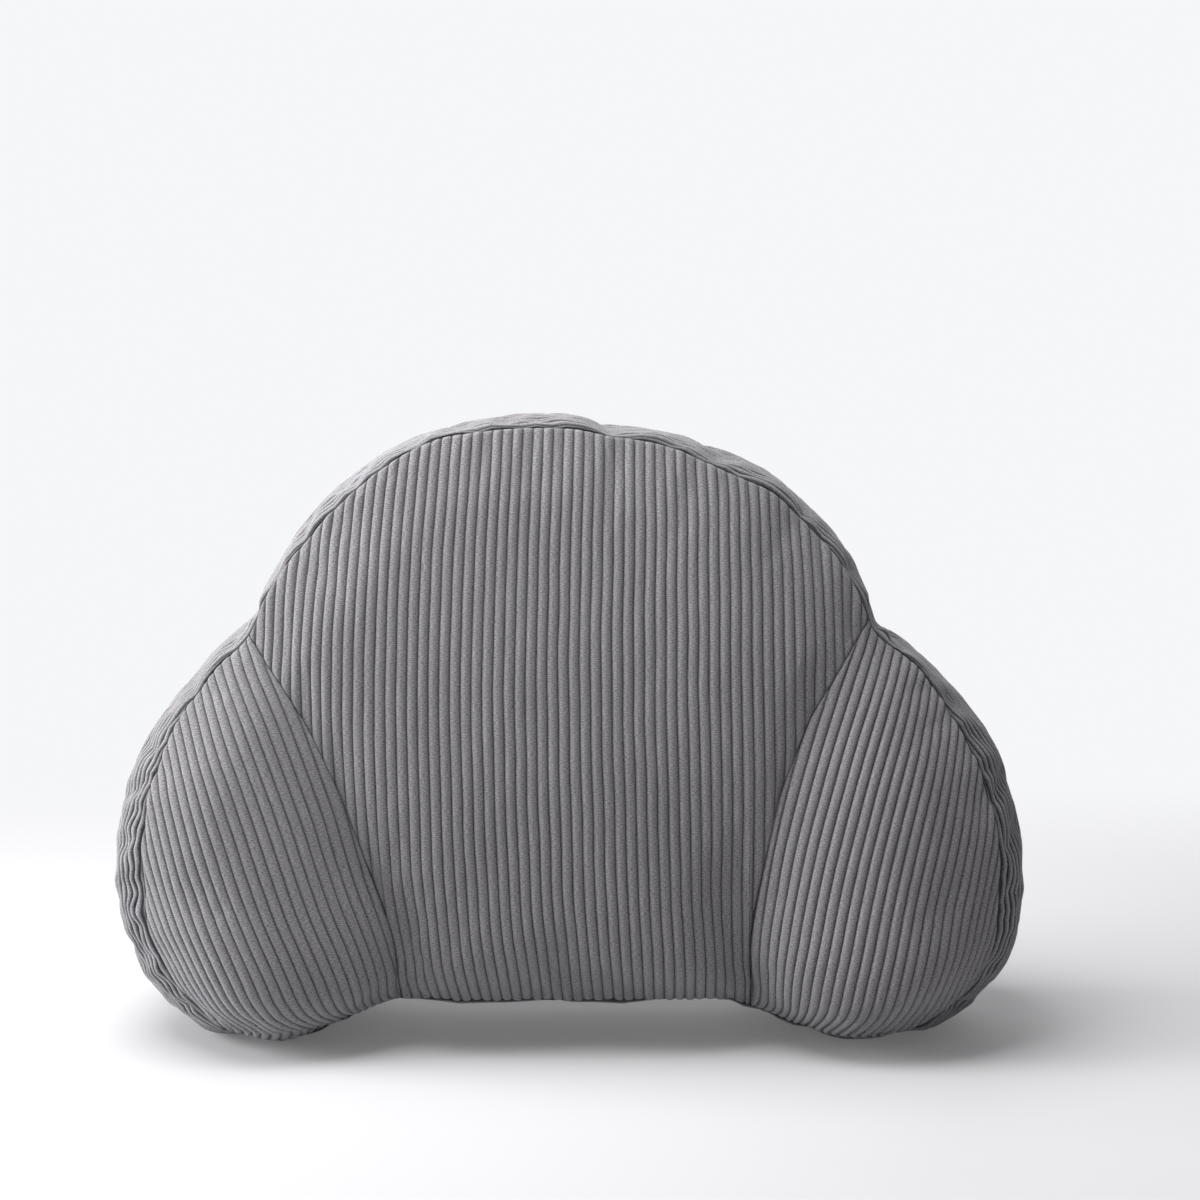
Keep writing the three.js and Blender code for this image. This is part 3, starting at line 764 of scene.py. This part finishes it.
# --- Meshes ------------------------------------------------------------------
def quads(rows, columns, closed):
    """Four-sided faces of a grid, wrapped round where it is closed: (r, c), (r+1, c), (r+1, c+1), (r, c+1)."""
    r = np.arange(rows if closed else rows - 1)[:, None]
    c = np.arange(columns - 1)[None, :]
    after = (r + 1) % rows
    corners = [r * columns + c, after * columns + c, after * columns + c + 1, r * columns + c + 1]
    return np.stack(corners, -1).reshape(-1, 4)


def stitched(fine, lining, stops):
    """Triangles between a finely divided edge and a coarse one, whose points lie beside the stops of the fine one.
    Each coarse length has a fan about its first point, and a last triangle that reaches its second."""
    faces = []
    for k, (first, last) in enumerate(zip(stops[:-1], stops[1:])):
        run = fine[first : last + 1]
        faces.append(np.stack([run[:-1], run[1:], np.full(len(run) - 1, lining[k])], -1))
        faces.append(np.array([[run[-1], lining[k + 1], lining[k]]]))
    return np.concatenate(faces)


def shell(name, cloth, moved, relief, row_step, column_step):
    """A closed piece of cloth: the ribbed outer side on the whole grid, and a plain lining a cloth's thickness
    inside it on every few rows and columns, joined along the seams. The lining comes closer where the seams are."""
    base = cloth["points"] + moved
    outer = base + cloth["tuck"] + cloth["normal"] * relief[..., None]
    rows, columns = outer.shape[:2]
    closed = cloth["closed"]
    lining_rows = np.arange(0, rows, row_step) if closed else coarse(rows, row_step)
    lining_columns = coarse(columns, column_step)
    pick = np.ix_(lining_rows, lining_columns)
    depth = np.clip(cloth["near"][pick] / LINING_EDGE, 0, 1)[..., None]
    inner = (base + cloth["tuck"])[pick]
    inner = inner + cloth["turn"][pick] * LINING_TURN * (1 - depth) - cloth["normal"][pick] * (SHELL * depth)
    vertices = np.concatenate([to_frame(outer).reshape(-1, 3), to_frame(inner).reshape(-1, 3)])
    outer_faces = quads(rows, columns, closed)
    count = rows * columns
    across = len(lining_columns)
    inner_faces = quads(len(lining_rows), across, closed)[:, ::-1] + count
    fine = np.arange(count).reshape(rows, columns)
    lining = count + np.arange(len(lining_rows) * across).reshape(-1, across)
    if closed:
        fine, lining = np.concatenate([fine, fine[:1]]), np.concatenate([lining, lining[:1]])
        row_stops = np.append(lining_rows, rows)
        more = []
    else:
        row_stops = lining_rows
        more = [(fine[0], lining[0], lining_columns, 1), (fine[-1], lining[-1], lining_columns, -1)]
    seams = [(fine[:, 0], lining[:, 0], row_stops, -1), (fine[:, -1], lining[:, -1], row_stops, 1), *more]
    rims = np.concatenate([stitched(*seam)[:, ::way] for *seam, way in seams])
    if outward_sign(cloth) < 0:
        outer_faces, inner_faces, rims = outer_faces[:, ::-1], inner_faces[:, ::-1], rims[:, ::-1]
    mesh = bpy.data.meshes.new(name)
    loops = np.concatenate([outer_faces.ravel(), inner_faces.ravel(), rims.ravel()])
    sizes = np.concatenate([np.full(len(outer_faces) + len(inner_faces), 4), np.full(len(rims), 3)])
    mesh.vertices.add(len(vertices))
    mesh.vertices.foreach_set("co", vertices.ravel())
    mesh.loops.add(len(loops))
    mesh.loops.foreach_set("vertex_index", loops)
    mesh.polygons.add(len(sizes))
    mesh.polygons.foreach_set("loop_start", np.concatenate([[0], sizes.cumsum()[:-1]]))
    mesh.polygons.foreach_set("use_smooth", np.ones(len(sizes), bool))
    mesh.update(calc_edges=True)

    def both(values, share=1):
        """Values at the points of the outer side, and this share of them at the lining's."""
        return np.concatenate([values.ravel(), values[pick].ravel() * share])

    weave = np.stack([both(cloth["rib"]) * STRIP_RIB / 1000, both(cloth["along"]) / 1000], -1)
    mesh.uv_layers.new(name="weave").data.foreach_set("uv", weave[loops].ravel())
    # Painted shade of the ribs' valleys and the seams, for the colour; the lining gets the darkest.
    mesh.attributes.new("painted_rib_shade", "FLOAT", "POINT").data.foreach_set("value", both(cloth["height"], 0))
    return placed(name, mesh)


def ribbed(cloth, height):
    """Relief of the ribs: the rib profile, flattened by exp(-d/w) at the seams where the nap is crushed, and uneven
    along and between the ribs. A share of it lies below the surface. The profile, lowered at the seams, is also kept
    with the cloth as painted shade, which darkens the colour in the valleys between ribs and along the seams."""
    share = cloth["rib"] % 1
    profile = rib_profile(share, *cloth["profile"])
    number = np.floor(cloth["rib"])
    crushed = np.exp(-cloth["near"] / CRUSH_WIDTH)
    uneven = 1 + UNEVEN_PILE * smooth_noise(cloth["seed"] + 5, number * UNEVEN_RIB, cloth["along"] / UNEVEN_LENGTH, 3)
    # Painted shade for the colour: 1 on the crests, darker in the valleys and at the seams.
    cloth["height"] = profile * (1 - PAINTED_SEAM_SHADE * crushed)
    return height * (profile * (1 - CRUSH * crushed) * uneven - SINK)


# --- Corduroy ----------------------------------------------------------------
def painted(name, sockets):
    """A new material whose shader has these values, with its nodes, links and shader."""
    material = bpy.data.materials.new(name)
    material.use_nodes = True
    nodes = material.node_tree.nodes
    shader = nodes["Principled BSDF"]
    for socket, value in sockets.items():
        shader.inputs[socket].default_value = value
    return material, nodes, material.node_tree.links, shader


SHEEN = {"Sheen Weight": 0.35, "Sheen Roughness": 0.45, "Sheen Tint": (0.93, 0.94, 1.0, 1)}
PILE = {"Roughness": 0.93, "Specular IOR Level": 0.12, **SHEEN}


def corduroy(name, colour, valley, crest, dark):
    """Wide-wale corduroy: a soft nap with a faint sheen. Shade is painted into its colour: dark in the valleys
    between ribs and at the seams, and evenly lighter from the painted shade's valley value up to its crest value. Its
    colour is uneven in patches as the nap lies, with short crinkles across the ribs and fine fibres."""
    material, nodes, links, shader = painted(name, PILE)

    def node(kind, **values):
        made = nodes.new(kind)
        for key, value in values.items():
            if hasattr(made, key):
                setattr(made, key, value)
            else:
                made.inputs[key].default_value = value
        return made

    weave = node("ShaderNodeUVMap", uv_map="weave")
    painted_rib_shade = node("ShaderNodeAttribute", attribute_name="painted_rib_shade")

    def noise(stretch, scale, detail, roughness):
        mapping = node("ShaderNodeMapping")
        mapping.inputs["Scale"].default_value = (*stretch, 1)
        texture = node("ShaderNodeTexNoise", Scale=scale, Detail=detail, Roughness=roughness)
        links.new(weave.outputs["UV"], mapping.inputs["Vector"])
        links.new(mapping.outputs["Vector"], texture.inputs["Vector"])
        return texture.outputs["Fac"]

    def ramp(value, low, high, to_low, to_high):
        made = node("ShaderNodeMapRange")
        for key, number in zip(("From Min", "From Max", "To Min", "To Max"), (low, high, to_low, to_high)):
            made.inputs[key].default_value = number
        links.new(value, made.inputs["Value"])
        return made.outputs["Result"]

    def math_node(operation, first, second):
        made = node("ShaderNodeMath", operation=operation)
        for slot, value in enumerate((first, second)):
            if isinstance(value, (int, float)):
                made.inputs[slot].default_value = value
            else:
                links.new(value, made.inputs[slot])
        return made.outputs["Value"]

    crinkle = noise((0.6, 1.9), 1150, 2.0, 0.6)
    fibre = noise((1.0, 0.8), 2100, 1.0, 0.6)
    patch = noise((1.0, 0.45), 26, 2.0, 0.5)
    # Colour: the base colour times the painted shade of valleys and seams, the patches, crinkles and fibres.
    painted_shade_factor = ramp(painted_rib_shade.outputs["Fac"], valley, crest, dark, 1.0)
    patch_shade = ramp(patch, 0.3, 0.7, 0.93, 1.07)
    crinkle_shade = ramp(crinkle, 0.3, 0.7, 0.5, 1.5)
    fibre_shade = ramp(fibre, 0.3, 0.7, 0.85, 1.15)
    shade = math_node("MULTIPLY", math_node("MULTIPLY", painted_shade_factor, patch_shade), crinkle_shade)
    shade = math_node("MULTIPLY", shade, fibre_shade)
    tint = node("ShaderNodeVectorMath", operation="SCALE")
    tint.inputs[0].default_value = colour
    links.new(shade, tint.inputs["Scale"])
    links.new(tint.outputs["Vector"], shader.inputs["Base Color"])
    # Bump: crinkles and fibres.
    bump_height = math_node("ADD", math_node("MULTIPLY", crinkle, 0.7), math_node("MULTIPLY", fibre, 0.3))
    bump = node("ShaderNodeBump", Strength=0.8, Distance=0.001)
    links.new(bump_height, bump.inputs["Height"])
    links.new(bump.outputs["Normal"], shader.inputs["Normal"])
    return material


def sew(name, cloth, node, slot, material, relief, stuffing, lining):
    """A finished piece of the cover: stuffed, ribbed, closed, and in the place of its solid. The stuffing is the
    rows and columns of the grid for each of the cloth's, pressure, growth and cap, and the lining its rows and
    columns alone."""
    moved = stuffed(cloth, *stuffing)
    piece = shell(name, cloth, moved, ribbed(cloth, relief), *lining)
    piece.data.materials.append(material)
    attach(piece, "root")
    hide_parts(node)
    return piece


# Painted shade: the face copy darkens the valleys a little, the edge and back copy darkens them far up the ribs so
# ribs seen edge-on show, with a lighter colour that makes up for it.
face_cord = corduroy("corduroy_face", (0.21, 0.205, 0.214), 0.0, 0.75, 0.4)
edge_cord = corduroy("corduroy_edge", (0.25, 0.245, 0.255), 0.45, 1.0, 0.17)

centre = panel(centre_depth, -1, 0, "centre", reach=35, rows=118, seed=11)
left_wing = panel(wing_depth, -1, -1, "left", reach=24, rows=100, seed=23)
right_wing = panel(wing_depth, -1, 1, "right", reach=24, rows=100, seed=37)
back = panel(back_depth, 1, None, "back", reach=46, rows=84, seed=51)
band = strip(rows=520, half_ribs=15, seed=70)

PANEL_CUT = {"relief": RIB_HEIGHT, "stuffing": (3, 8, 2.0, 0.008, 3.0), "lining": (4, 8)}
STRIP_CUT = {"relief": STRIP_RELIEF, "stuffing": (3, 7, 2.0, 0.015, 4.0), "lining": (4, 7)}
sew("centre_panel", centre, "front_centre", "corduroy_face", face_cord, **PANEL_CUT)
sew("left_wing_panel", left_wing, "wing_left", "corduroy_face", face_cord, **PANEL_CUT)
sew("right_wing_panel", right_wing, "wing_right", "corduroy_face", face_cord, **PANEL_CUT)
sew("back_cover", back, "back_panel", "corduroy_edge", edge_cord, **PANEL_CUT)
sew("edge_strip", band, "boxing_strip", "corduroy_edge", edge_cord, **STRIP_CUT)

# --- Floor, light and camera -------------------------------------------------
PAINTED_GLOW_NEAR, PALE_FROM, PALE_TO = 0.12, 0.12, 0.75  # share of painted glow on the floor near the pillow, which lightens its shadow for the camera, and where that share changes
FLOOR_FRONT, FLOOR_HALF, BEND_START, BEND_RADIUS, WALL_TOP = -3.5, 6.0, 2.0, 1.5, 5.0


def studio_paint(name, colour, far_colour):
    """Matt paint that takes shadows near the pillow, lightened by a small share of painted glow that only the camera
    sees, and looks evenly pale to the camera far behind it: the share of the far colour goes from that small share to
    1 with the floor's own Y, by 3 t^2 - 2 t^3."""
    matt = {"Base Color": (*colour, 1), "Roughness": 0.9, "Specular IOR Level": 0.1}
    material, nodes, links, shader = painted(name, matt)
    glow = nodes.new("ShaderNodeEmission")
    glow.inputs["Color"].default_value = (*far_colour, 1)
    place, parts = nodes.new("ShaderNodeTexCoord"), nodes.new("ShaderNodeSeparateXYZ")
    far, ray = nodes.new("ShaderNodeMapRange"), nodes.new("ShaderNodeLightPath")
    far.interpolation_type = "SMOOTHSTEP"
    far.inputs["From Min"].default_value, far.inputs["From Max"].default_value = PALE_FROM, PALE_TO
    far.inputs["To Min"].default_value = PAINTED_GLOW_NEAR
    both, mix = nodes.new("ShaderNodeMath"), nodes.new("ShaderNodeMixShader")
    both.operation = "MULTIPLY"
    links.new(place.outputs["Object"], parts.inputs["Vector"])
    links.new(parts.outputs["Y"], far.inputs["Value"])
    links.new(far.outputs["Result"], both.inputs[0])
    links.new(ray.outputs["Is Camera Ray"], both.inputs[1])
    links.new(both.outputs["Value"], mix.inputs["Fac"])
    links.new(shader.outputs["BSDF"], mix.inputs[1])
    links.new(glow.outputs["Emission"], mix.inputs[2])
    links.new(mix.outputs["Shader"], nodes["Material Output"].inputs["Surface"])
    return material


def studio_floor():
    """A floor that curves up into a wall far behind, in metres: level, then a quarter of a circle, then upright."""
    level = np.linspace(FLOOR_FRONT, BEND_START, 8)
    turn = np.linspace(0.1, 1, 12) * math.pi / 2
    along = np.concatenate([level, BEND_START + BEND_RADIUS * np.sin(turn)])
    up = np.concatenate([0 * level, BEND_RADIUS * (1 - np.cos(turn))])
    along, up = np.append(along, BEND_START + BEND_RADIUS), np.append(up, WALL_TOP)
    x = np.linspace(-FLOOR_HALF, FLOOR_HALF, 3)
    grid = np.stack(np.broadcast_arrays(x[None, :], along[:, None], up[:, None]), -1)
    mesh = bpy.data.meshes.new("studio_floor")
    mesh.from_pydata(grid.reshape(-1, 3).tolist(), [], quads(len(along), 3, False)[:, ::-1].tolist())
    mesh.polygons.foreach_set("use_smooth", np.ones(len(mesh.polygons), bool))
    floor = placed("studio_floor", mesh)
    floor.data.materials.append(studio_paint("studio_paint", (0.535, 0.535, 0.545), (0.92, 0.925, 0.94)))


def lamp(name, place, target, size, power):
    """A square soft lamp that looks at a point."""
    light = bpy.data.lights.new(name, "AREA")
    light.size, light.energy = size, power
    made = placed(name, light)
    made.location = place
    way = np.array(target, float) - np.array(place, float)
    made.rotation_euler = (math.atan2(math.hypot(way[0], way[1]), -way[2]), 0, math.atan2(-way[0], way[1]))
    made.visible_camera = False


studio_floor()
lamp("window_lamp", (-2.0, -0.1, 0.7), (0, 0, 0.2), 1.2, 70)
lamp("near_lamp", (-0.25, -0.15, 1.05), (0, 0, 0.2), 0.8, 15.5)
lamp("back_lamp", (0, 2.2, 0.6), (0, 0, 0.1), 1.8, 43)

world = bpy.data.worlds.new("studio")
bpy.context.scene.world = world
world.use_nodes = True
background = world.node_tree.nodes["Background"]
background.inputs["Color"].default_value = (0.97, 0.935, 0.96, 1)
background.inputs["Strength"].default_value = 0.25

camera = bpy.data.cameras.new("camera")
camera.sensor_width, camera.lens, camera.shift_x = 36, 81, 28.5 / 1200
eye = placed("camera", camera)
eye.location = (0, -1.482, 0.42)
eye.rotation_euler = (math.radians(90 - 6.95), 0, 0)
bpy.context.scene.camera = eye
bpy.context.scene.view_settings.view_transform = "Standard"
